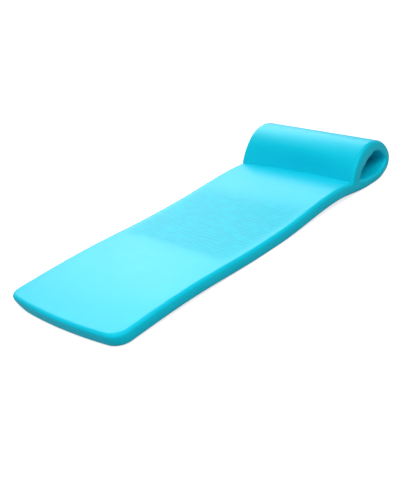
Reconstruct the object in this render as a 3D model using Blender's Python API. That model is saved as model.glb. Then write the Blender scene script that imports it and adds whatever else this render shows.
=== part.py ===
# Foam pool float: a vinyl-coated foam mat whose head end is rolled into a hollow pillow.
# Metres, +Z up. X runs from the foot to the pillow, Y runs across the mat.
# Each piece is made as a flat slab and then bent along the mat's side profile.
# On a flat slab, x is the distance along the mat and z the height in its thickness.
import math

import bmesh
import bpy
import numpy as np

# The mat
BED_LENGTH = 1.670  # on the floor, from the foot corners to the start of the roll
WIDTH = 0.660
THICKNESS = 0.0572
EDGE_RADIUS = 0.016  # rounding of the long edges and of the foot edge
CORNER_RADIUS = 0.060  # foot corners, seen from above
FOOT_BOW = 0.026  # how far the foot end swells past its corners

# The coat, and the gap between pieces that touch
COAT = 0.0008
CLEARANCE = 0.0003

# How the mat lies on the floor: distances from the foot corners, heights of the underside
FOOT_CREST_AT = 0.380
FOOT_CREST_HEIGHT = 0.012
REST_AT = 0.880
REST_LENGTH = 0.090
HEAD_CREST_AT = 1.360
HEAD_CREST_HEIGHT = 0.019
ROLL_REST_LENGTH = 0.040  # flat stretch before the roll

# The pillow's roll: inside radius and turn of each run, from the floor up, over and down
HEEL_RADIUS = 0.1364
HEEL_TURN = math.radians(30)
FOLD_RADIUS = 0.0154
FOLD_TURN = math.radians(87)
CROWN_RADIUS = 0.1014
CROWN_TURN = math.radians(103.5)
FRONT_RADIUS = 0.2014
FRONT_REACH = 0.340  # more than the front needs: it is cut where it meets the mat
EASE_LENGTH = 0.040  # over this length one radius turns into the next

# The glued seam under the pillow's front
BOND_MARGIN = 0.003  # from the seam's edge to the cut end of the foam

# Fineness of the facets
PROFILE_STEP = 0.001
FACET_TURN = math.radians(6.5)
FACET_LENGTH = 0.080
SEAT_FACET_LENGTH = 0.016
EDGE_SEGMENTS = 3
CORNER_SEGMENTS = 5
BOW_SEGMENTS = 8
SEAT_SAMPLES = 50  # places along the seam at which the front's height over the mat is looked at
SHARP_ANGLE = math.radians(35)  # edges sharper than this aren't shaded smooth

HALF_WIDTH = WIDTH / 2
HALF_THICKNESS = THICKNESS / 2
SAME_PLACE = 0.00001
SAME_DIRECTION = math.radians(0.1)


def ease(share):
    """Rises smoothly from 0 to 1 as share does."""
    return (1 - np.cos(np.pi * np.clip(share, 0, 1))) / 2


def underside(x):
    """Height of the mat's underside over the floor, between the foot and the roll."""
    foot_edge = EDGE_RADIUS - FOOT_BOW
    rest_start = REST_AT - REST_LENGTH / 2
    rest_end = REST_AT + REST_LENGTH / 2
    roll_rest = BED_LENGTH - ROLL_REST_LENGTH
    foot_rise = FOOT_CREST_HEIGHT * np.sin(np.pi / 2 * (x - foot_edge) / (FOOT_CREST_AT - foot_edge))
    foot_fall = FOOT_CREST_HEIGHT * (1 - ease((x - FOOT_CREST_AT) / (rest_start - FOOT_CREST_AT)))
    head_rise = HEAD_CREST_HEIGHT * ease((x - rest_end) / (HEAD_CREST_AT - rest_end))
    head_fall = HEAD_CREST_HEIGHT * (1 - ease((x - HEAD_CREST_AT) / (roll_rest - HEAD_CREST_AT)))
    foot_wave = np.where(x < FOOT_CREST_AT, foot_rise, foot_fall)
    head_wave = np.where(x < HEAD_CREST_AT, head_rise, head_fall)
    return np.where(x < REST_AT, foot_wave, head_wave)


def running_sum(values, steps):
    """Integral of values over steps, by trapezia, from 0."""
    return np.concatenate([[0], np.cumsum((values[1:] + values[:-1]) / 2 * steps)])


class Profile:
    """Middle line of the mat in side view, by distance along it from the foot corners."""

    def __init__(self):
        bed_x = np.linspace(-FOOT_BOW, BED_LENGTH, int((BED_LENGTH + FOOT_BOW) / PROFILE_STEP) + 1)
        bed_z = underside(bed_x) + HALF_THICKNESS
        bed_angle = np.arctan(np.gradient(bed_z, bed_x))
        bed_length = np.concatenate([[0], np.cumsum(np.hypot(np.diff(bed_x), np.diff(bed_z)))])
        bed_length = bed_length - np.interp(0, bed_x, bed_length)
        self.roll_start = bed_length[-1]
        length, x, z, angle = self.roll(bed_x[-1], bed_z[-1])
        self.length = np.concatenate([bed_length, self.roll_start + length[1:]])
        self.x = np.concatenate([bed_x, x[1:]])
        self.z = np.concatenate([bed_z, z[1:]])
        self.angle = np.concatenate([bed_angle, angle[1:]])
        self.cut_front()

    def roll(self, start_x, start_z):
        """The roll, by its curvature: each run's radius eases into the next one's."""
        runs = [
            (HEEL_RADIUS + HALF_THICKNESS, HEEL_TURN),
            (FOLD_RADIUS + HALF_THICKNESS, FOLD_TURN),
            (CROWN_RADIUS + HALF_THICKNESS, CROWN_TURN),
        ]
        run_starts = np.concatenate([[0], np.cumsum([radius * turn for radius, turn in runs])])
        curvatures = [1 / radius for radius, turn in runs] + [1 / (FRONT_RADIUS + HALF_THICKNESS)]
        end = run_starts[-1] + FRONT_REACH
        length = np.linspace(0, end, int(end / PROFILE_STEP) + 1)
        steps = np.diff(length)
        curvature = np.zeros_like(length)
        before = 0
        for start, after in zip(run_starts, curvatures):
            curvature += (after - before) * ease((length - start) / EASE_LENGTH + 0.5)
            before = after
        angle = running_sum(curvature, steps)
        x = start_x + running_sum(np.cos(angle), steps)
        z = start_z + running_sum(np.sin(angle), steps)
        return length, x, z, angle

    def place(self, along, height):
        """Side-view point of a place on the flat slab."""
        x = np.interp(along, self.length, self.x)
        z = np.interp(along, self.length, self.z)
        angle = np.interp(along, self.length, self.angle)
        return x - height * np.sin(angle), z + height * np.cos(angle)

    def mat_top(self, x):
        """Height of the mat's top at x, in front of and under the roll."""
        bed = self.length <= self.roll_start
        top_x, top_z = self.place(self.length[bed], HALF_THICKNESS)
        return np.interp(x, top_x, top_z)

    def meets_mat(self, height):
        """Where a line of the front, at this height in the slab, reaches the mat's top."""
        front = self.angle > math.pi
        along = self.length[front]
        x, z = self.place(along, height)
        over = z - self.mat_top(x)
        last = int(np.argmax(over <= 0))
        share = over[last - 1] / (over[last - 1] - over[last])
        meeting = along[last - 1] + share * (along[last] - along[last - 1])
        return self.place(meeting, height)

    def cut_front(self):
        """The front is cut by one plane, a clearance over the mat where it comes closest."""
        self.crease = self.meets_mat(-HALF_THICKNESS)
        self.corner = self.meets_mat(HALF_THICKNESS)
        seat_x = np.linspace(self.crease[0], self.corner[0], SEAT_SAMPLES)
        seat_z = np.interp(seat_x, [self.crease[0], self.corner[0]], [self.crease[1], self.corner[1]])
        self.seat_lift = max(0, float(np.max(self.mat_top(seat_x) - seat_z))) + CLEARANCE
        self.seat_slope = (self.corner[1] - self.crease[1]) / (self.corner[0] - self.crease[0])

    def front_end(self, height):
        """Distance along the mat at which a line of the front reaches the cut."""
        front = self.angle > math.pi
        along = self.length[front]
        x, z = self.place(along, height)
        over = z - self.crease[1] - self.seat_lift - self.seat_slope * (x - self.crease[0])
        last = int(np.argmax(over <= 0))
        share = over[last - 1] / (over[last - 1] - over[last])
        return along[last - 1] + share * (along[last] - along[last - 1])

    def along_at(self, x):
        """Distance along the mat of a place on its top, in front of the roll."""
        bed = self.length <= self.roll_start
        top_x, top_z = self.place(self.length[bed], HALF_THICKNESS)
        return np.interp(x, top_x, self.length[bed])


PROFILE = Profile()

# The seam is a strip under the front's cut end, in a window of the mat's coat
WINDOW_START = PROFILE.along_at(PROFILE.crease[0] + COAT + CLEARANCE + BOND_MARGIN)
WINDOW_END = PROFILE.along_at(PROFILE.corner[0] - COAT - CLEARANCE - BOND_MARGIN)
WINDOW_HALF_WIDTH = HALF_WIDTH - EDGE_RADIUS - BOND_MARGIN
FRONT_END = PROFILE.front_end(-HALF_THICKNESS)
LAST_STATION = PROFILE.front_end(HALF_THICKNESS) - BOND_MARGIN


def foot_arcs():
    """The foot's bow as one arc through its corners, and where the corner arcs are centred."""
    bow_radius = (HALF_WIDTH ** 2 + FOOT_BOW ** 2) / (2 * FOOT_BOW)
    bow_centre = bow_radius - FOOT_BOW
    across = HALF_WIDTH - CORNER_RADIUS
    corner_x = bow_centre - math.sqrt((bow_radius - CORNER_RADIUS) ** 2 - across ** 2)
    return bow_radius, bow_centre, corner_x


def stations():
    """Distances at which the slabs are divided: fixed places, and more where the mat bends."""
    corner_x = foot_arcs()[2]
    rest_start = PROFILE.along_at(REST_AT - REST_LENGTH / 2)
    rest_end = PROFILE.along_at(REST_AT + REST_LENGTH / 2)
    roll_rest = PROFILE.roll_start - ROLL_REST_LENGTH
    marks = [corner_x, rest_start, rest_end, WINDOW_START, WINDOW_END]
    marks += [roll_rest, PROFILE.roll_start, LAST_STATION]
    marks.sort()
    along = PROFILE.length
    turn = np.abs(np.diff(PROFILE.angle))
    fineness = np.concatenate([[0], np.cumsum(turn / FACET_TURN + np.diff(along) / FACET_LENGTH)])
    places = [marks[0]]
    for start, end in zip(marks[:-1], marks[1:]):
        low, high = np.interp([start, end], along, fineness)
        count = math.ceil(high - low)
        if start == WINDOW_START:
            count = math.ceil((end - start) / SEAT_FACET_LENGTH)
        places += list(np.interp(np.linspace(low, high, count + 1)[1:], fineness, along))
    return places


STATIONS = stations()


def outline(inset):
    """Plan of the flat slab, drawn in by inset on every side but the rolled end."""
    bow_radius, bow_centre, corner_x = foot_arcs()
    across = HALF_WIDTH - CORNER_RADIUS
    bow_angle = math.atan2(across, bow_centre - corner_x)
    half = []
    for step in range(BOW_SEGMENTS):
        angle = bow_angle * step / BOW_SEGMENTS
        radius = bow_radius - inset
        half.append((bow_centre - radius * math.cos(angle), radius * math.sin(angle)))
    for step in range(CORNER_SEGMENTS + 1):
        angle = bow_angle + (math.pi / 2 - bow_angle) * step / CORNER_SEGMENTS
        radius = CORNER_RADIUS - inset
        half.append((corner_x - radius * math.cos(angle), across + radius * math.sin(angle)))
    half.append((FRONT_END, HALF_WIDTH - inset))
    other = [(x, -y) for x, y in reversed(half[1:])]
    return half + other


def flat_slab(inset):
    """Flat slab with rounded long and foot edges, divided at the stations."""
    curve = bpy.data.curves.new("slab_outline", "CURVE")
    curve.dimensions = "2D"
    curve.fill_mode = "BOTH"
    curve.extrude = HALF_THICKNESS - inset
    points = outline(inset)
    spline = curve.splines.new("POLY")
    spline.points.add(len(points) - 1)
    for point, (x, y) in zip(spline.points, points):
        point.co = (x, y, 0, 1)
    spline.use_cyclic_u = True
    guide = bpy.data.objects.new("slab_outline", curve)
    bpy.context.scene.collection.objects.link(guide)
    evaluated = guide.evaluated_get(bpy.context.evaluated_depsgraph_get())
    mesh = bpy.data.meshes.new_from_object(evaluated)
    slab = bmesh.new()
    slab.from_mesh(mesh)
    bpy.data.objects.remove(guide)
    bpy.data.meshes.remove(mesh)
    bmesh.ops.remove_doubles(slab, verts=slab.verts, dist=SAME_PLACE)
    bmesh.ops.dissolve_limit(slab, angle_limit=SAME_DIRECTION, verts=slab.verts, edges=slab.edges)
    bmesh.ops.recalc_face_normals(slab, faces=slab.faces)
    round_rim(slab, inset)
    divide(slab, STATIONS)
    return slab


def divide(slab, places):
    """Cuts a flat slab's faces across at these distances along it."""
    for place in places:
        bmesh.ops.bisect_plane(
            slab,
            geom=slab.verts[:] + slab.edges[:] + slab.faces[:],
            dist=SAME_PLACE,
            plane_co=(place, 0, 0),
            plane_no=(1, 0, 0),
        )


def round_rim(slab, inset):
    """Rounds the top and bottom edges all round, but not the rolled end's."""
    level = HALF_THICKNESS - inset
    rim = []
    for edge in slab.edges:
        heights = [abs(vert.co.z) for vert in edge.verts]
        at_end = all(vert.co.x > FRONT_END - SAME_PLACE for vert in edge.verts)
        same_side = edge.verts[0].co.z * edge.verts[1].co.z > 0
        if min(heights) > level - SAME_PLACE and same_side and not at_end:
            rim.append(edge)
    bmesh.ops.bevel(
        slab,
        geom=rim,
        offset=EDGE_RADIUS - inset,
        offset_type="OFFSET",
        segments=EDGE_SEGMENTS,
        profile=0.5,
        affect="EDGES",
        clamp_overlap=False,
    )


def slant_end(slab):
    """Moves the rolled end's points to the plane where the front is cut."""
    for vert in slab.verts:
        if vert.co.x > FRONT_END - SAME_PLACE:
            vert.co.x = PROFILE.front_end(vert.co.z)


def bend(slab):
    """Bends a flat slab along the mat's profile."""
    for vert in slab.verts:
        x, z = PROFILE.place(vert.co.x, vert.co.z)
        vert.co = (x, vert.co.y, z)


def over_seam(face):
    return face.normal.z > 0 and WINDOW_START < face.calc_center_median().x < WINDOW_END


def open_window(slab):
    """Cuts the seam's window in the top of a flat slab."""
    for side in (-1, 1):
        faces = [face for face in slab.faces if over_seam(face)]
        edges = {edge for face in faces for edge in face.edges}
        verts = {vert for face in faces for vert in face.verts}
        bmesh.ops.bisect_plane(
            slab,
            geom=list(verts) + list(edges) + faces,
            dist=SAME_PLACE,
            plane_co=(0, side * WINDOW_HALF_WIDTH, 0),
            plane_no=(0, 1, 0),
        )
    window = []
    for face in slab.faces:
        if over_seam(face) and abs(face.calc_center_median().y) < WINDOW_HALF_WIDTH:
            window.append(face)
    bmesh.ops.delete(slab, geom=window, context="FACES")


def open_end(slab):
    """Takes away the face of the rolled end."""
    end = [face for face in slab.faces if face.calc_center_median().x > FRONT_END - SAME_PLACE]
    bmesh.ops.delete(slab, geom=end, context="FACES_ONLY")


def finish(slab, name, material, collection):
    """Makes a named object of a bent slab."""
    mesh = bpy.data.meshes.new(name)
    slab.to_mesh(mesh)
    slab.free()
    mesh.shade_smooth()
    mesh.set_sharp_from_angle(angle=SHARP_ANGLE)
    mesh.materials.append(material)
    piece = bpy.data.objects.new(name, mesh)
    collection.objects.link(piece)
    return piece


def principled(name, colour, roughness):
    material = bpy.data.materials.new(name)
    material.use_nodes = True
    shader = material.node_tree.nodes["Principled BSDF"]
    shader.inputs["Base Color"].default_value = (*colour, 1)
    shader.inputs["Roughness"].default_value = roughness
    shader.inputs["Metallic"].default_value = 0
    return material


def make_foam_core(collection):
    """The foam: one slab, rolled over at the head."""
    slab = flat_slab(COAT + CLEARANCE)
    slant_end(slab)
    bend(slab)
    return finish(slab, "foam_core", principled("closed_cell_foam", (0.78, 0.79, 0.77), 0.9), collection)


def make_vinyl_coat(collection):
    """The dipped coat: one skin all round the foam, open only where the seam is glued."""
    slab = flat_slab(0)
    open_window(slab)
    open_end(slab)
    bmesh.ops.solidify(slab, geom=slab.faces[:], thickness=COAT)
    slant_end(slab)
    bend(slab)
    return finish(slab, "vinyl_coat", principled("turquoise_vinyl", (0.02, 0.55, 0.72), 0.35), collection)


def make_pillow_bond(collection):
    """The glue that holds the front's cut end down on the foam, as thick as the coat beside it."""
    length = WINDOW_END - WINDOW_START - 2 * CLEARANCE
    width = 2 * (WINDOW_HALF_WIDTH - CLEARANCE)
    middle = (WINDOW_START + WINDOW_END) / 2
    slab = bmesh.new()
    bmesh.ops.create_cube(slab, size=1)
    bmesh.ops.scale(slab, vec=(length, width, COAT), verts=slab.verts)
    bmesh.ops.translate(slab, vec=(middle, 0, HALF_THICKNESS - COAT / 2), verts=slab.verts)
    divide(slab, [place for place in STATIONS if abs(place - middle) < length / 2 - SAME_PLACE])
    bend(slab)
    return finish(slab, "pillow_bond", principled("clear_glue", (0.85, 0.78, 0.55), 0.5), collection)


def main():
    for old in list(bpy.data.objects):
        bpy.data.objects.remove(old)
    collection = bpy.data.collections.new("foam_pool_float")
    bpy.context.scene.collection.children.link(collection)
    pieces = [make_foam_core(collection), make_pillow_bond(collection), make_vinyl_coat(collection)]
    # The origin is under the middle of the whole float
    reach = [vert.co.x for vert in pieces[-1].data.vertices]
    for piece in pieces:
        piece.location.x = -(min(reach) + max(reach)) / 2
        print(piece.name, "facets:", sum(len(face.vertices) - 2 for face in piece.data.polygons))
    print("overall length", round(max(reach) - min(reach), 4))


main()
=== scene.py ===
# Foam pool float: a foam mat in a turquoise vinyl coat, its head end rolled over into a hollow pillow.
# Metres, in the frame's own axes: X from the foot to the pillow, Y across the mat, Z up.
import bpy
import math
import numpy as np
from mathutils import Matrix, Vector, noise


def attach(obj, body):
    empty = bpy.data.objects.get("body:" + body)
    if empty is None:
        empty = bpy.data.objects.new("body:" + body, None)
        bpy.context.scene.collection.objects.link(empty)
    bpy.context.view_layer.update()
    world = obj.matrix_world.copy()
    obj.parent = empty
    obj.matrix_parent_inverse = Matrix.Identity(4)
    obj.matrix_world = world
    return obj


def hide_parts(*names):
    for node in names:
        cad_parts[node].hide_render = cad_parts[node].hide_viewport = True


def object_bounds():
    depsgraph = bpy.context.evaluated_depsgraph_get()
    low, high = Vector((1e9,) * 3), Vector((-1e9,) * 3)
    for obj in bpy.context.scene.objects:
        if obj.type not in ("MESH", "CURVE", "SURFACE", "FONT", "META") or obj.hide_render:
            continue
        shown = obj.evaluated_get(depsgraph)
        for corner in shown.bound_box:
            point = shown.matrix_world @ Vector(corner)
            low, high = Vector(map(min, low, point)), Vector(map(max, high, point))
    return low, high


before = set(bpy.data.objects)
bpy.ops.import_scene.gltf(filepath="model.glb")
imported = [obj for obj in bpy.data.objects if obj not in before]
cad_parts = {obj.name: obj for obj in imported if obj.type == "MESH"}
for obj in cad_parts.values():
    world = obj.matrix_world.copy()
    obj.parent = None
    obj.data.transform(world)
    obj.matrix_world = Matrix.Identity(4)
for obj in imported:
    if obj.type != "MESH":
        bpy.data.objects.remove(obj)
cadLow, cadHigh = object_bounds()

# The mat's own sizes, as the frame's solids have them; distances run along the mat from its foot corners
matSizes = {
    "width": 0.660,
    "thickness": 0.0572,
    "edgeRadius": 0.016,
    "cornerRadius": 0.060,
    "footBow": 0.026,
    "footCrestAt": 0.380,
    "footCrestHeight": 0.012,
    "restAt": 0.880,
    "restLength": 0.090,
    "headCrestAt": 1.360,
    "headCrestHeight": 0.019,
    "bedLength": 1.670,
    "rollRestLength": 0.040,
    "rollRuns": [(0.1364, 30), (0.0154, 87), (0.1014, 103.5)],  # inside radius, turn in degrees
    "frontRadius": 0.2014,
    "frontReach": 0.340,
    "easeLength": 0.040,
    "coat": 0.0008,
    "clearance": 0.0003,
}

# What soft foam adds to that shape
softness = {
    "rimRadius": 0.013,
    "bowOver": 0.25,  # how far from the foot its bow reaches
    "farCorner": 0.048,  # the far foot corner is sharper in plan than the near one
    "farTuck": 0.014,  # and its lower half is drawn in
    "farTuckOver": 0.150,
    "sideOut": 0.003,  # the long sides stand a little further out
    "sideBulge": 0.004,  # all sides swell at half their height
    "bulgeFade": 0.08,  # but less and less towards the front's end, which meets the mat's side
    # How much thicker the rolled wall is than the flat mat, by distance after the roll's start
    "wallChanges": [
        (-0.125, 0.0),
        (-0.060, -0.0120),
        (0.030, -0.0160),
        (0.120, -0.0150),
        (0.200, -0.0100),
        (0.255, -0.0045),
        (0.325, 0.0150),
        (0.385, 0.0190),
        (0.440, 0.0120),
    ],
    "seamBow": 0.030,  # the middle of the crease lies further back than its ends
    "seamSkew": 0.0057,  # and its far end a little further forward than its near one
    "seamFade": 0.15,  # how far from the crease the mat and the front are shifted with it
    "frontFade": 0.12,
    "headTwist": 0.0064,  # the far edge lies lower at the head's wave
    "footTwist": 0.0013,
    "footOut": 0.005,  # the foot end stands a little further out, and more so at the top
    "footLean": 0.003,
    "footSoftOver": 0.09,
}


def easeIn(share):
    return (1 - np.cos(np.pi * np.clip(share, 0, 1))) / 2


def runningSum(values, steps):
    return np.concatenate([[0], np.cumsum((values[1:] + values[:-1]) / 2 * steps)])


def restPlaces():  # where the mat starts and stops lying on the floor, and where the pillow starts to
    m = matSizes
    restStart = m["restAt"] - m["restLength"] / 2
    restEnd = m["restAt"] + m["restLength"] / 2
    return restStart, restEnd, m["bedLength"] - m["rollRestLength"]


def undersideHeight(x):  # over the floor, by distance from the foot corners
    m = matSizes
    footEdge = m["edgeRadius"] - m["footBow"]
    restStart, restEnd, rollRest = restPlaces()
    footRise = m["footCrestHeight"] * np.sin(np.pi / 2 * (x - footEdge) / (m["footCrestAt"] - footEdge))
    footFall = m["footCrestHeight"] * (1 - easeIn((x - m["footCrestAt"]) / (restStart - m["footCrestAt"])))
    headRise = m["headCrestHeight"] * easeIn((x - restEnd) / (m["headCrestAt"] - restEnd))
    headFall = m["headCrestHeight"] * (1 - easeIn((x - m["headCrestAt"]) / (rollRest - m["headCrestAt"])))
    footWave = np.where(x < m["footCrestAt"], footRise, footFall)
    headWave = np.where(x < m["headCrestAt"], headRise, headFall)
    return np.where(x < m["restAt"], footWave, headWave)


profileFineness = {"step": 0.001, "beyondFoot": 0.020}


def makeProfile():  # the mat's middle line in side view, over the bed and round the roll
    m = matSizes
    step = profileFineness["step"]
    half = m["thickness"] / 2
    footEnd = -m["footBow"] - profileFineness["beyondFoot"]
    bedX = np.linspace(footEnd, m["bedLength"], int((m["bedLength"] - footEnd) / step) + 1)
    bedZ = undersideHeight(bedX) + half
    bedAngle = np.arctan(np.gradient(bedZ, bedX))
    bedAlong = np.concatenate([[0], np.cumsum(np.hypot(np.diff(bedX), np.diff(bedZ)))])
    bedAlong = bedAlong - np.interp(0, bedX, bedAlong)
    runs = [(radius + half, math.radians(turn)) for radius, turn in m["rollRuns"]]
    runStarts = np.concatenate([[0], np.cumsum([radius * turn for radius, turn in runs])])
    curvatures = [1 / radius for radius, turn in runs] + [1 / (m["frontRadius"] + half)]
    end = runStarts[-1] + m["frontReach"]
    along = np.linspace(0, end, int(end / step) + 1)
    curvature = np.zeros_like(along)
    before = 0
    for start, after in zip(runStarts, curvatures):
        curvature += (after - before) * easeIn((along - start) / m["easeLength"] + 0.5)
        before = after
    angle = runningSum(curvature, np.diff(along))
    x = bedX[-1] + runningSum(np.cos(angle), np.diff(along))
    z = bedZ[-1] + runningSum(np.sin(angle), np.diff(along))
    profile = {
        "rollStart": bedAlong[-1],
        "along": np.concatenate([bedAlong, bedAlong[-1] + along[1:]]),
        "x": np.concatenate([bedX, x[1:]]),
        "z": np.concatenate([bedZ, z[1:]]),
        "angle": np.concatenate([bedAngle, angle[1:]]),
    }
    # The frame's origin is under the middle of the whole float
    profile["x"] += cadHigh.x - (profile["x"] + half * np.sin(profile["angle"])).max()
    return profile


profile = makeProfile()


def placeOn(along, height):  # side-view point, at a height over the mat's middle line
    x = np.interp(along, profile["along"], profile["x"])
    z = np.interp(along, profile["along"], profile["z"])
    angle = np.interp(along, profile["along"], profile["angle"])
    return x - height * np.sin(angle), z + height * np.cos(angle)


def wallChange(along, height):  # how far a place in the wall moves inwards, none on the outer side
    places = softness["wallChanges"]
    change = places[0][1]
    for (start, before), (end, after) in zip(places, places[1:]):
        change = change + (after - before) * easeIn((along - profile["rollStart"] - start) / (end - start))
    innerSide = matSizes["thickness"] / 2 - matSizes["coat"] - matSizes["clearance"]
    straight = matSizes["thickness"] / 2 - softness["rimRadius"]
    return change * np.clip((height + straight) / (innerSide + straight), 0, 1)


def twist(along):  # how far the far edge lies under the middle
    m = matSizes
    restStart, restEnd, rollRest = restPlaces()
    foot = easeIn(along / m["footCrestAt"])
    foot = foot * (1 - easeIn((along - m["footCrestAt"]) / (restStart - m["footCrestAt"])))
    head = easeIn((along - restEnd) / (m["headCrestAt"] - restEnd))
    head = head * (1 - easeIn((along - m["headCrestAt"]) / (rollRest - m["headCrestAt"])))
    return softness["footTwist"] * foot + softness["headTwist"] * head


def bedPoint(along, y, height):  # a point of the lying part of the mat, with its twist
    x, z = placeOn(along, height + wallChange(along, height))
    return x, z - twist(along) * 2 * y / matSizes["width"]


def bedLine(drop):  # the bed in side view, this far under its top
    half = matSizes["thickness"] / 2
    bed = profile["along"] <= profile["rollStart"]
    along = profile["along"][bed]
    x, z = placeOn(along, half - drop)
    return along, x, z


def frontMeets(height, drop):  # where a line of the front reaches that line of the bed
    front = profile["angle"] > math.pi
    along = profile["along"][front]
    x, z = placeOn(along, height + wallChange(along, height))
    bedAlong, bedX, bedZ = bedLine(drop)
    over = z - np.interp(x, bedX, bedZ)
    last = int(np.argmax(over <= 0))
    share = over[last - 1] / (over[last - 1] - over[last])
    meeting = along[last - 1] + share * (along[last] - along[last - 1])
    meetingX = x[last - 1] + share * (x[last] - x[last - 1])
    return meeting, np.interp(meetingX, bedX, bedAlong)


def seamShift(y):  # how far the crease bows back along the bed
    across = 2 * y / matSizes["width"]
    return softness["seamBow"] * (1 - across ** 2) - softness["seamSkew"] * across


def latticeBox(name, counts):
    # A cube cut into rows, columns and levels, moved so that its points stand at whole numbers
    mostParts = 100  # subdivide makes no more at a time, so a longer side is first cut into equal parts
    bpy.ops.object.select_all(action="DESELECT")
    bpy.ops.mesh.primitive_cube_add(size=1, location=(0, 0, 0))
    box = bpy.context.active_object
    box.name = name
    bpy.context.tool_settings.mesh_select_mode = (False, True, False)
    for axis, count in enumerate(counts):
        divisors = [part for part in range(1, count + 1) if count % part == 0]
        parts = next(part for part in divisors if count // part <= mostParts)
        for pieces in (parts, count // parts):
            selectAlong(box, axis)
            if pieces > 1:
                bpy.ops.mesh.subdivide(number_cuts=pieces - 1)
            bpy.ops.object.mode_set(mode="OBJECT")
    points = pointsOf(box)
    box.data.vertices.foreach_set("co", np.rint((points + 0.5) * np.array(counts)).ravel())
    return box


def pointsOf(box):
    points = np.zeros(len(box.data.vertices) * 3)
    box.data.vertices.foreach_get("co", points)
    return points.reshape(-1, 3)


def selectAlong(box, axis):  # the edges that run along one axis, left selected in edit mode
    shortest = 0.0001
    bpy.ops.object.mode_set(mode="EDIT")
    bpy.ops.mesh.select_all(action="DESELECT")
    bpy.ops.object.mode_set(mode="OBJECT")
    place = pointsOf(box)[:, axis]
    ends = np.zeros(len(box.data.edges) * 2, int)
    box.data.edges.foreach_get("vertices", ends)
    ends = ends.reshape(-1, 2)
    runsAlong = np.abs(place[ends[:, 0]] - place[ends[:, 1]]) > shortest
    box.data.edges.foreach_set("select", runsAlong)
    bpy.ops.object.mode_set(mode="EDIT")


def spread(start, end, count):
    return list(np.linspace(start, end, count + 1)[1:])


def acrossWithRims(flat, edge, count, rim):  # places from one side to the other, closer in both rims
    middle = [flat - flat * 2 * step / count for step in range(count + 1)]
    rimSteps = [flat + edge * step / rim for step in range(1, rim + 1)]
    return [-place for place in reversed(rimSteps)] + middle[::-1] + rimSteps


def slabPlan(inset, fine):
    # Distances of the rows, columns and levels of a slab, and which rows hold the seam
    m = matSizes
    half = m["thickness"] / 2 - inset
    edge = softness["rimRadius"] - inset
    crease = frontMeets(-half, 0)
    corner = frontMeets(half, 0)
    rim = fine["rim"]
    rows = [inset] + spread(inset, softness["rimRadius"], rim)
    rows += spread(softness["rimRadius"], m["cornerRadius"], fine["corner"])
    rows += spread(m["cornerRadius"], fine["finestFrom"], fine["foot"])
    rows += spread(fine["finestFrom"], fine["finestTo"], fine["finest"])
    rows += spread(fine["finestTo"], crease[1], fine["head"])
    seamStart = len(rows) - 1
    rows += spread(crease[1], corner[1], fine["side"])
    seamEnd = len(rows) - 1
    rows += spread(corner[1], profile["rollStart"], fine["under"])
    rollAngle = np.linspace(0, math.pi, fine["roll"] + 1)[1:]
    inRoll = profile["along"] >= profile["rollStart"]
    rows += list(np.interp(rollAngle, profile["angle"][inRoll], profile["along"][inRoll]))
    rows += spread(rows[-1], crease[0], fine["front"])
    columns = acrossWithRims(m["width"] / 2 - softness["rimRadius"], edge, fine["across"], rim)
    levels = acrossWithRims(half - edge, edge, fine["side"], rim)
    return {
        "rows": np.array(rows),
        "columns": np.array(columns),
        "levels": np.array(levels),
        "seamStart": seamStart,
        "seamEnd": seamEnd,
        "half": half,
        "edge": edge,
        "inset": inset,
        "rim": rim,
    }


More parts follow.
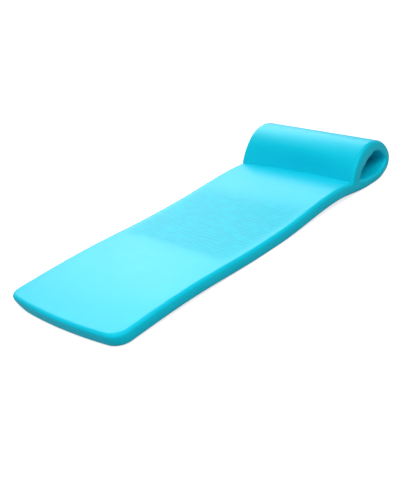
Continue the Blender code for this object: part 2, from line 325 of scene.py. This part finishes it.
def roundedSlab(plan, steps):
    # Flat slab with round corners in plan and a round rim: distance along, across, height
    m = matSizes
    base = plan["rows"][steps[:, 0]]
    along = base
    y = plan["columns"][steps[:, 1]]
    z = plan["levels"][steps[:, 2]]
    inset, edge, half = plan["inset"], plan["edge"], plan["half"]
    leastReach = 0.00001
    side = np.sign(y)
    across = np.abs(y)
    corner = np.where(y > 0, softness["farCorner"], m["cornerRadius"])
    cornerAcross = m["width"] / 2 - corner
    radius = corner - inset
    u = (corner - along) / radius
    v = (across - cornerAcross) / radius
    inCorner = (u > 0) & (v > 0)
    u2 = np.where(inCorner, u * np.sqrt(np.maximum(1 - v * v / 2, 0)), 0)
    v2 = np.where(inCorner, v * np.sqrt(np.maximum(1 - u * u / 2, 0)), 0)
    reach = np.maximum(np.hypot(u2, v2), leastReach)
    awayX = np.where(inCorner, -u2 / reach, np.where(v > 0, 0, np.where(u > 0, -1, 0)))
    awayY = np.where(inCorner, v2 / reach, np.where(v > 0, 1, 0))
    straightOut = np.where(v > 0, v * radius, np.where(u > 0, u * radius, 0))
    outward = np.where(inCorner, reach * radius, straightOut)
    fromX = np.where(inCorner | ((v <= 0) & (u > 0)), corner, along)
    fromY = np.where(inCorner | (v > 0), cornerAcross, across)
    depth = radius - outward
    fall = half - np.abs(z)
    turn = np.clip(1 - depth / edge, 0, 1) * math.pi / 4 + np.clip(fall / edge, 0, 1) * math.pi / 4
    onRim = depth < edge
    rimOut = radius - edge * (1 - np.sin(turn))
    outward = np.where(onRim, rimOut, outward)
    rimDrop = np.where(onRim, edge * (1 - np.cos(turn)), 0)
    z = np.where(onRim & (fall < edge), np.sign(z) * (half - rimDrop), z)
    moved = (u > 0) | (v > 0)
    along = np.where(moved, fromX + awayX * outward, along)
    across = np.where(moved, fromY + awayY * outward, across)
    y = side * across

    # What a soft slab adds: the bowed foot, the tucked far corner and the swelling sides
    bow = m["footBow"] * (1 - (2 * y / m["width"]) ** 2) * (1 - easeIn(along / softness["bowOver"]))
    nearFoot = 1 - easeIn(along / softness["footSoftOver"])
    out = (softness["footOut"] + softness["footLean"] * z / half) * nearFoot
    toCorner = np.hypot(along, m["width"] / 2 - y)
    tuck = softness["farTuck"] * (1 - easeIn(toCorner / softness["farTuckOver"]))
    tuck = tuck * easeIn((1 - z / half) / 2) * math.sqrt(0.5)
    nearEnd = 1 - easeIn((plan["rows"][-1] - base) / softness["bulgeFade"])
    drawnIn = softness["sideBulge"] * np.maximum((z / half) ** 2, (1 - edge / half) ** 2 * nearEnd)
    y = y * (1 + 2 * (softness["sideOut"] - drawnIn) / m["width"]) - tuck
    return along - bow - out + drawnIn * nearFoot + tuck, y, z


def bendSlab(plan, steps, along, y, z, fused):
    # Lays the flat slab along the profile; the front's end follows the bowed seam on the bed
    half, edge = plan["half"], plan["edge"]
    row = steps[:, 0]
    base = plan["rows"][row]
    nominal = plan["rows"][-1]
    drop = np.minimum(half - np.abs(z), edge)
    lift = matSizes["thickness"] / 2 + matSizes["clearance"]
    rimPlaces = 9
    levelDigits = 7

    # The two edges of the seam on the bed, by how far the rim has dropped there
    drops = np.linspace(0, edge, rimPlaces)
    creaseAt = [frontMeets(-half + depth, depth)[1] for depth in drops]
    cornerAt = [frontMeets(half - depth, depth)[1] for depth in drops]

    def seamAlong(share, depth):
        start = np.interp(depth, drops, creaseAt)
        end = np.interp(depth, drops, cornerAt)
        return start + share * (end - start)

    # Bed rows slide along the bed, so that two of them run under the front's two faces
    seamStart, seamEnd = plan["seamStart"], plan["seamEnd"]
    startAt, endAt = plan["rows"][seamStart], plan["rows"][seamEnd]
    share = np.clip((row - seamStart) / (seamEnd - seamStart), 0, 1)
    slide = seamAlong(share, np.where(z > 0, drop, edge)) + seamShift(y)
    slide = slide - startAt - share * (endAt - startAt)
    before = 1 - easeIn((startAt - base) / softness["seamFade"])
    after = 1 - easeIn((base - endAt) / (profile["rollStart"] - endAt))
    fade = np.where(row < seamStart, before, np.where(row > seamEnd, after, 1))
    bedX, bedZ = bedPoint(along + slide * fade, y, z)

    # Each line of the front ends where it meets the bed
    levels = np.unique(np.round(z[base == nominal], levelDigits))
    meetings = []
    for level in levels:
        depth = min(half - abs(level), edge) if fused else -matSizes["clearance"]
        meetings.append(frontMeets(level, depth))
    frontEnd = np.interp(z, levels, [meeting[0] for meeting in meetings])
    nearEnd = easeIn(1 - (nominal - base) / softness["frontFade"])
    frontAlong = along + (frontEnd - nominal) * nearEnd
    frontX, frontZ = placeOn(frontAlong, z + wallChange(frontAlong, z))
    endX, endZ = placeOn(frontEnd, z + wallChange(frontEnd, z))
    if fused:
        middle = np.clip((z + half - edge) / (2 * (half - edge)), 0, 1)
        seamX, seamZ = bedPoint(seamAlong(middle, drop) + seamShift(y), y, half - drop)
    else:
        bedAt = np.interp(z, levels, [meeting[1] for meeting in meetings])
        seamX, seamZ = bedPoint(bedAt + seamShift(y), y, lift)
    frontX = frontX + (seamX - endX) * nearEnd
    frontZ = frontZ + (seamZ - endZ) * nearEnd
    inRoll = base > profile["rollStart"]
    return np.where(inRoll, frontX, bedX), np.where(inRoll, frontZ, bedZ)


def openForSeam(box, plan, steps):
    # Takes away the front's end and the bed's faces under it
    last = len(plan["rows"]) - 1
    top = len(plan["levels"]) - 1
    atEnd = steps[:, 0] == last
    underFront = (steps[:, 0] >= plan["seamStart"]) & (steps[:, 0] <= plan["seamEnd"])
    underFront = underFront & (steps[:, 2] >= top - plan["rim"])
    wanted = []
    for face in box.data.polygons:
        points = list(face.vertices)
        wanted.append(bool(atEnd[points].all() or underFront[points].all()))
    bpy.context.tool_settings.mesh_select_mode = (False, False, True)
    bpy.ops.object.mode_set(mode="EDIT")
    bpy.ops.mesh.select_all(action="DESELECT")
    bpy.ops.object.mode_set(mode="OBJECT")
    box.data.polygons.foreach_set("select", wanted)
    bpy.ops.object.mode_set(mode="EDIT")
    bpy.ops.mesh.delete(type="FACE")
    bpy.ops.object.mode_set(mode="OBJECT")


def stepsOf(box):  # the row, column and level of each point of a lattice box
    return np.rint(pointsOf(box)).astype(int)


def movePoints(box, x, y, z):
    box.data.vertices.foreach_set("co", np.stack([x, y, z], -1).ravel())
    box.data.update()


closing = {"merge": 0.00002, "smoothUnder": 40}


def closeMesh(box):
    bpy.ops.object.select_all(action="DESELECT")
    box.select_set(True)
    bpy.context.view_layer.objects.active = box
    bpy.ops.object.mode_set(mode="EDIT")
    bpy.ops.mesh.select_all(action="SELECT")
    bpy.ops.mesh.remove_doubles(threshold=closing["merge"])
    bpy.ops.object.mode_set(mode="OBJECT")
    bpy.ops.object.shade_smooth_by_angle(angle=math.radians(closing["smoothUnder"]))


# The fine creases across the mat's middle, where its top is squeezed between the two waves
creases = {
    "from": 0.590,
    "full": 0.665,
    "fading": 1.080,
    "to": 1.240,
    "edgeFade": 0.050,
    "depth": 0.00016,
    "apart": 0.0195,
    "long": 0.038,
    "drift": 0.5,  # in spaces between two furrows
    "driftOver": 0.060,
    "driftPattern": 3.7,
    "strength": 0.75,  # how strong the furrows are on the whole, and how much that comes and goes
    "patches": 1.2,
    "patchOver": 0.028,
    "patchPattern": 8.3,
    "leftOutUnder": 0.01,
}


def creasing(along, y):  # 0 where the coat is smooth, 1 where it is creased all over
    c = creases
    rise = easeIn((along - c["from"]) / (c["full"] - c["from"]))
    fall = 1 - easeIn((along - c["fading"]) / (c["to"] - c["fading"]))
    edge = easeIn((matSizes["width"] / 2 - softness["rimRadius"] - np.abs(y)) / c["edgeFade"])
    return rise * fall * edge


def furrowAt(along, y):  # wavering furrows across the mat, which come and go
    c = creases
    driftPlace = Vector((along / c["driftOver"], y / c["long"], c["driftPattern"]))
    patchPlace = Vector((along / c["patchOver"], y / c["long"], c["patchPattern"]))
    drift = c["drift"] * noise.noise(driftPlace)
    strength = c["strength"] + c["patches"] * noise.noise(patchPlace)
    wave = 0.5 + 0.5 * math.cos(2 * math.pi * (along / c["apart"] + drift))
    return min(max(strength, 0), 1) * wave


# Into how many steps each stretch of the slab is cut, and between which places most finely
coatFineness = {
    "rim": 5,
    "corner": 6,
    "foot": 40,
    "finestFrom": 0.590,
    "finestTo": 1.245,
    "finest": 261,
    "head": 20,
    "side": 5,
    "under": 11,
    "roll": 60,
    "front": 24,
    "across": 52,
}


def makeCoat():
    # One skin all round the foam, grown together with itself at the seam
    plan = slabPlan(0, coatFineness)
    box = latticeBox("coat_skin", [len(plan[part]) - 1 for part in ("rows", "columns", "levels")])
    openForSeam(box, plan, stepsOf(box))
    steps = stepsOf(box)
    along, y, z = roundedSlab(plan, steps)
    onTop = steps[:, 2] == len(plan["levels"]) - 1
    amount = np.where(onTop, creasing(along, y), 0)
    furrows = np.zeros(len(steps))
    for point in np.nonzero(amount > creases["leftOutUnder"])[0]:
        furrows[point] = amount[point] * furrowAt(along[point], y[point])
    x, bentZ = bendSlab(plan, steps, along, y, z, True)
    movePoints(box, x, y, bentZ - creases["depth"] * furrows)
    # The furrow amounts are also kept as the mask of the painted shade in the furrows' hollows
    for name, values in (("creasing", amount), ("furrowShadeMask", furrows)):
        shown = box.data.attributes.new(name, "FLOAT", "POINT")
        shown.data.foreach_set("value", values)
    closeMesh(box)
    return box


foamFineness = {
    "rim": 3,
    "corner": 4,
    "foot": 16,
    "finestFrom": 0.590,
    "finestTo": 1.245,
    "finest": 21,
    "head": 8,
    "side": 3,
    "under": 5,
    "roll": 36,
    "front": 12,
    "across": 24,
}


def makeFoam():
    # The slab inside the coat, with its own cut end over the seam
    plan = slabPlan(matSizes["coat"] + matSizes["clearance"], foamFineness)
    box = latticeBox("foam_slab", [len(plan[part]) - 1 for part in ("rows", "columns", "levels")])
    steps = stepsOf(box)
    along, y, z = roundedSlab(plan, steps)
    x, bentZ = bendSlab(plan, steps, along, y, z, False)
    movePoints(box, x, y, bentZ)
    closeMesh(box)
    return box


seamGlue = {
    "rows": 6,
    "columns": 30,
    "margin": 0.004,
    "amber": (0.85, 0.78, 0.55, 1),
    "brown": (0.72, 0.62, 0.38, 1),
    "streakScale": 60,
    "streakDetail": 3,
    "glossy": 0.35,
    "dull": 0.6,
}


def makeGlue():
    # A thin bed of glue under the front's cut end, bowed as the seam is
    m = matSizes
    counts = [seamGlue["rows"], seamGlue["columns"], 1]
    box = latticeBox("seam_glue", counts)
    steps = stepsOf(box)
    half = m["thickness"] / 2
    start = frontMeets(-half, 0)[1] + seamGlue["margin"]
    end = frontMeets(half, 0)[1] - seamGlue["margin"]
    across = m["width"] / 2 - softness["rimRadius"] - seamGlue["margin"]
    y = across * (2 * steps[:, 1] / counts[1] - 1)
    along = start + (end - start) * steps[:, 0] / counts[0] + seamShift(y)
    height = half - m["coat"] * (1 - steps[:, 2])
    x, z = bedPoint(along, y, height)
    movePoints(box, x, y, z)
    closeMesh(box)
    return box


def newMaterial(name):
    material = bpy.data.materials.new(name)
    material.use_nodes = True
    nodes = material.node_tree.nodes
    return material, nodes, material.node_tree.links, nodes["Principled BSDF"]


def addNode(nodes, kind, **settings):
    node = nodes.new(kind)
    for key, value in settings.items():
        setattr(node, key, value)
    return node


def noiseOn(nodes, links, scale, detail, stretch=(1, 1, 1)):
    place = addNode(nodes, "ShaderNodeTexCoord")
    mapping = addNode(nodes, "ShaderNodeMapping")
    mapping.inputs["Scale"].default_value = stretch
    texture = addNode(nodes, "ShaderNodeTexNoise")
    texture.inputs["Scale"].default_value = scale
    texture.inputs["Detail"].default_value = detail
    links.new(place.outputs["Object"], mapping.inputs["Vector"])
    links.new(mapping.outputs["Vector"], texture.inputs["Vector"])
    return texture.outputs["Fac"]


def rangeOf(nodes, links, value, low, high, fromLow=0.0, fromHigh=1.0):
    ranged = addNode(nodes, "ShaderNodeMapRange")
    ranged.inputs["From Min"].default_value = fromLow
    ranged.inputs["From Max"].default_value = fromHigh
    ranged.inputs["To Min"].default_value = low
    ranged.inputs["To Max"].default_value = high
    links.new(value, ranged.inputs["Value"])
    return ranged.outputs["Result"]


def mixColours(nodes, links, share, first, second):
    mix = addNode(nodes, "ShaderNodeMix", data_type="RGBA")
    links.new(share, mix.inputs["Factor"])
    for socket, colour in (("A", first), ("B", second)):
        target = [item for item in mix.inputs if item.name == socket and item.type == "RGBA"][0]
        if isinstance(colour, tuple):
            target.default_value = colour
        else:
            links.new(colour, target)
    return [item for item in mix.outputs if item.type == "RGBA"][0]


vinyl = {
    "colour": (0.003, 0.595, 0.780, 1),
    "deeper": (0.002, 0.570, 0.755, 1),
    # painted shade: the darker colour the vinyl takes in the furrows' hollows, standing in for the shade
    # there
    "paintedFurrowShade": (0.002, 0.470, 0.615, 1),
    "roughness": 0.40,
    "creasedRoughness": 0.48,
    "specular": 0.2,
    "tint": (0.25, 0.9, 1.0, 1),
    "cloudScale": 9,
    "cloudDetail": 4,
    "cloudRange": (0.3, 0.7),
    "grainScale": 900,
    "grainDetail": 3,
    "grainDepth": 0.00004,
    "fineCreaseScale": 24,
    "fineCreaseDetail": 5,
    "fineCreaseStretch": (6, 1, 1),
    "fineCreaseDepth": 0.0002,
}


def vinylMaterial():
    material, nodes, links, shader = newMaterial("turquoise_vinyl")
    creased = addNode(nodes, "ShaderNodeAttribute", attribute_name="creasing").outputs["Fac"]
    furrowShadeMask = addNode(nodes, "ShaderNodeAttribute", attribute_name="furrowShadeMask").outputs["Fac"]
    cloudNoise = noiseOn(nodes, links, vinyl["cloudScale"], vinyl["cloudDetail"])
    clouds = rangeOf(nodes, links, cloudNoise, 0, 1, *vinyl["cloudRange"])
    clouded = mixColours(nodes, links, clouds, vinyl["colour"], vinyl["deeper"])
    # Painted shade: the furrows' hollows take a darker colour in place of the shade that falls in them
    colour = mixColours(nodes, links, furrowShadeMask, clouded, vinyl["paintedFurrowShade"])
    links.new(colour, shader.inputs["Base Color"])
    rough = rangeOf(nodes, links, creased, vinyl["roughness"], vinyl["creasedRoughness"])
    links.new(rough, shader.inputs["Roughness"])
    shader.inputs["Specular IOR Level"].default_value = vinyl["specular"]
    shader.inputs["Specular Tint"].default_value = vinyl["tint"]
    grain = addNode(nodes, "ShaderNodeBump")
    grain.inputs["Distance"].default_value = vinyl["grainDepth"]
    grainNoise = noiseOn(nodes, links, vinyl["grainScale"], vinyl["grainDetail"])
    links.new(grainNoise, grain.inputs["Height"])
    fine = addNode(nodes, "ShaderNodeBump")
    fine.inputs["Distance"].default_value = vinyl["fineCreaseDepth"]
    scale, detail, stretch = (vinyl["fineCrease" + key] for key in ("Scale", "Detail", "Stretch"))
    links.new(noiseOn(nodes, links, scale, detail, stretch), fine.inputs["Height"])
    links.new(creased, fine.inputs["Strength"])
    links.new(grain.outputs["Normal"], fine.inputs["Normal"])
    links.new(fine.outputs["Normal"], shader.inputs["Normal"])
    return material


foam = {
    "colour": (0.78, 0.79, 0.77, 1),
    "shade": (0.66, 0.67, 0.65, 1),
    "roughness": 0.9,
    "cellScale": 700,
    "cellDepth": 0.0003,
}


def foamMaterial():
    material, nodes, links, shader = newMaterial("closed_cell_foam")
    shader.inputs["Roughness"].default_value = foam["roughness"]
    place = addNode(nodes, "ShaderNodeTexCoord")
    cells = addNode(nodes, "ShaderNodeTexVoronoi")
    cells.inputs["Scale"].default_value = foam["cellScale"]
    links.new(place.outputs["Object"], cells.inputs["Vector"])
    colour = mixColours(nodes, links, cells.outputs["Distance"], foam["shade"], foam["colour"])
    links.new(colour, shader.inputs["Base Color"])
    bump = addNode(nodes, "ShaderNodeBump")
    bump.inputs["Distance"].default_value = foam["cellDepth"]
    links.new(cells.outputs["Distance"], bump.inputs["Height"])
    links.new(bump.outputs["Normal"], shader.inputs["Normal"])
    return material


def glueMaterial():
    material, nodes, links, shader = newMaterial("cured_glue")
    streaks = noiseOn(nodes, links, seamGlue["streakScale"], seamGlue["streakDetail"])
    streaked = mixColours(nodes, links, streaks, seamGlue["amber"], seamGlue["brown"])
    rough = rangeOf(nodes, links, streaks, seamGlue["glossy"], seamGlue["dull"])
    links.new(streaked, shader.inputs["Base Color"])
    links.new(rough, shader.inputs["Roughness"])
    return material


def dress(piece, material, node):
    piece.data.materials.clear()
    piece.data.materials.append(material)
    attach(piece, "root")
    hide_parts(node)


coat = makeCoat()
dress(coat, vinylMaterial(), "vinyl_coat")
print("coat:", len(coat.data.polygons), "faces")

slab = makeFoam()
dress(slab, foamMaterial(), "foam_core")
print("foam:", len(slab.data.polygons), "faces")

glue = makeGlue()
dress(glue, glueMaterial(), "pillow_bond")
print("glue:", len(glue.data.polygons), "faces")


# The camera as in the photograph, whose picture is 400 by 489 pixels
cameraSettings = {
    "azimuth": -43.509,
    "elevation": 26.084,
    "roll": -8.5894,
    "distance": 4.0015,
    "target": (-0.1299, -0.0281, 0.0140),
    "focalPixels": 919.95,
    "pictureHeight": 489,
    "sensor": 36,
}


def makeCamera():
    c = cameraSettings
    azimuth, elevation, roll = (math.radians(c[key]) for key in ("azimuth", "elevation", "roll"))
    flat = math.cos(elevation)
    back = Vector((math.sin(azimuth) * flat, -math.cos(azimuth) * flat, math.sin(elevation)))
    right = (-back).cross(Vector((0, 0, 1))).normalized()
    up = right.cross(-back)
    turnedRight = right * math.cos(roll) + up * math.sin(roll)
    turnedUp = up * math.cos(roll) - right * math.sin(roll)
    bpy.ops.object.camera_add()
    camera = bpy.context.active_object
    camera.name = "camera"
    camera.data.lens = c["focalPixels"] / c["pictureHeight"] * c["sensor"]
    camera.data.sensor_width = c["sensor"]
    turn = Matrix((turnedRight, turnedUp, back)).transposed()
    camera.matrix_world = Matrix.Translation(Vector(c["target"]) + back * c["distance"]) @ turn.to_4x4()
    bpy.context.scene.camera = camera


makeCamera()
print("camera done")


# Floor, lamps and surroundings; a lamp's place is its direction from the mat, in degrees
studio = {
    "floorSize": 40,
    "floorColour": (0.45, 0.45, 0.45, 1),
    "floorGlow": 0.12,  # in the picture, in gloss and through glass
    "glowInView": 0.65,  # and this much more in the picture, so that the shadow stays faint
    "farGlowInView": 0.88,  # further out the floor is plain white
    "nearTo": 1.3,
    "farFrom": 3.0,
    "surroundings": 0.0,  # the world lights nothing and is white where it is seen
    "lampDistance": 4.5,
    "lamps": {
        "rearLeft": {"azimuth": 64, "elevation": 34, "width": 1.8, "height": 1.5, "energy": 70},
        "rearRight": {"azimuth": 41, "elevation": 31, "width": 2.2, "height": 2.2, "energy": 64},
        "front": {"azimuth": -127, "elevation": 57, "width": 4.0, "height": 3.0, "energy": 116},
        "footHigh": {"azimuth": -172, "elevation": 50, "width": 2.5, "height": 2.0, "energy": 32},
        "foot": {"azimuth": 165, "elevation": 28, "width": 2.5, "height": 2.0, "energy": 24},
        "near": {"azimuth": -82, "elevation": 52, "width": 2.5, "height": 2.0, "energy": 56},
    },
}


def isSeen(nodes, links):  # 1 for the rays that show the floor and surroundings, 0 for light on the mat
    path = addNode(nodes, "ShaderNodeLightPath")
    seen = path.outputs["Is Camera Ray"]
    for kind in ("Is Glossy Ray", "Is Transmission Ray"):
        most = addNode(nodes, "ShaderNodeMath", operation="MAXIMUM")
        links.new(seen, most.inputs[0])
        links.new(path.outputs[kind], most.inputs[1])
        seen = most.outputs["Value"]
    return seen


def makeFloor():
    bpy.ops.object.select_all(action="DESELECT")
    bpy.ops.mesh.primitive_plane_add(size=studio["floorSize"], location=(0, 0, 0))
    floor = bpy.context.active_object
    floor.name = "floor"
    material, nodes, links, shader = newMaterial("pale_floor")
    shader.inputs["Base Color"].default_value = studio["floorColour"]
    shader.inputs["Roughness"].default_value = 1
    shader.inputs["Specular IOR Level"].default_value = 0
    # The floor glows where it is seen, so that it shows white round a faint shadow
    glow = rangeOf(nodes, links, isSeen(nodes, links), 0, studio["floorGlow"])
    place = addNode(nodes, "ShaderNodeTexCoord")
    distance = addNode(nodes, "ShaderNodeVectorMath", operation="LENGTH")
    links.new(place.outputs["Object"], distance.inputs[0])
    glows = (studio["glowInView"], studio["farGlowInView"])
    inView = rangeOf(nodes, links, distance.outputs["Value"], *glows, studio["nearTo"], studio["farFrom"])
    path = addNode(nodes, "ShaderNodeLightPath")
    both = addNode(nodes, "ShaderNodeMath", operation="MULTIPLY_ADD")
    links.new(inView, both.inputs[0])
    links.new(path.outputs["Is Camera Ray"], both.inputs[1])
    links.new(glow, both.inputs[2])
    shader.inputs["Emission Color"].default_value = (1, 1, 1, 1)
    links.new(both.outputs["Value"], shader.inputs["Emission Strength"])
    floor.data.materials.append(material)


def makeSurroundings():
    world = bpy.context.scene.world or bpy.data.worlds.new("studio")
    bpy.context.scene.world = world
    world.use_nodes = True
    nodes, links = world.node_tree.nodes, world.node_tree.links
    background = nodes["Background"]
    background.inputs["Color"].default_value = (1, 1, 1, 1)
    strength = rangeOf(nodes, links, isSeen(nodes, links), studio["surroundings"], 1)
    links.new(strength, background.inputs["Strength"])


def makeLamp(name, lamp):
    azimuth, elevation = math.radians(lamp["azimuth"]), math.radians(lamp["elevation"])
    flat = math.cos(elevation)
    direction = Vector((flat * math.cos(azimuth), flat * math.sin(azimuth), math.sin(elevation)))
    bpy.ops.object.light_add(type="AREA", location=direction * studio["lampDistance"])
    light = bpy.context.active_object
    light.name = name + "Softbox"
    light.data.shape = "RECTANGLE"
    light.data.size = lamp["width"]
    light.data.size_y = lamp["height"]
    light.data.energy = lamp["energy"]
    light.rotation_euler = (-direction).to_track_quat("-Z", "Y").to_euler()
    light.visible_camera = False


makeFloor()
makeSurroundings()
for lampName, lampSettings in studio["lamps"].items():
    makeLamp(lampName, lampSettings)
bpy.context.scene.view_settings.view_transform = "Standard"
print("studio done")
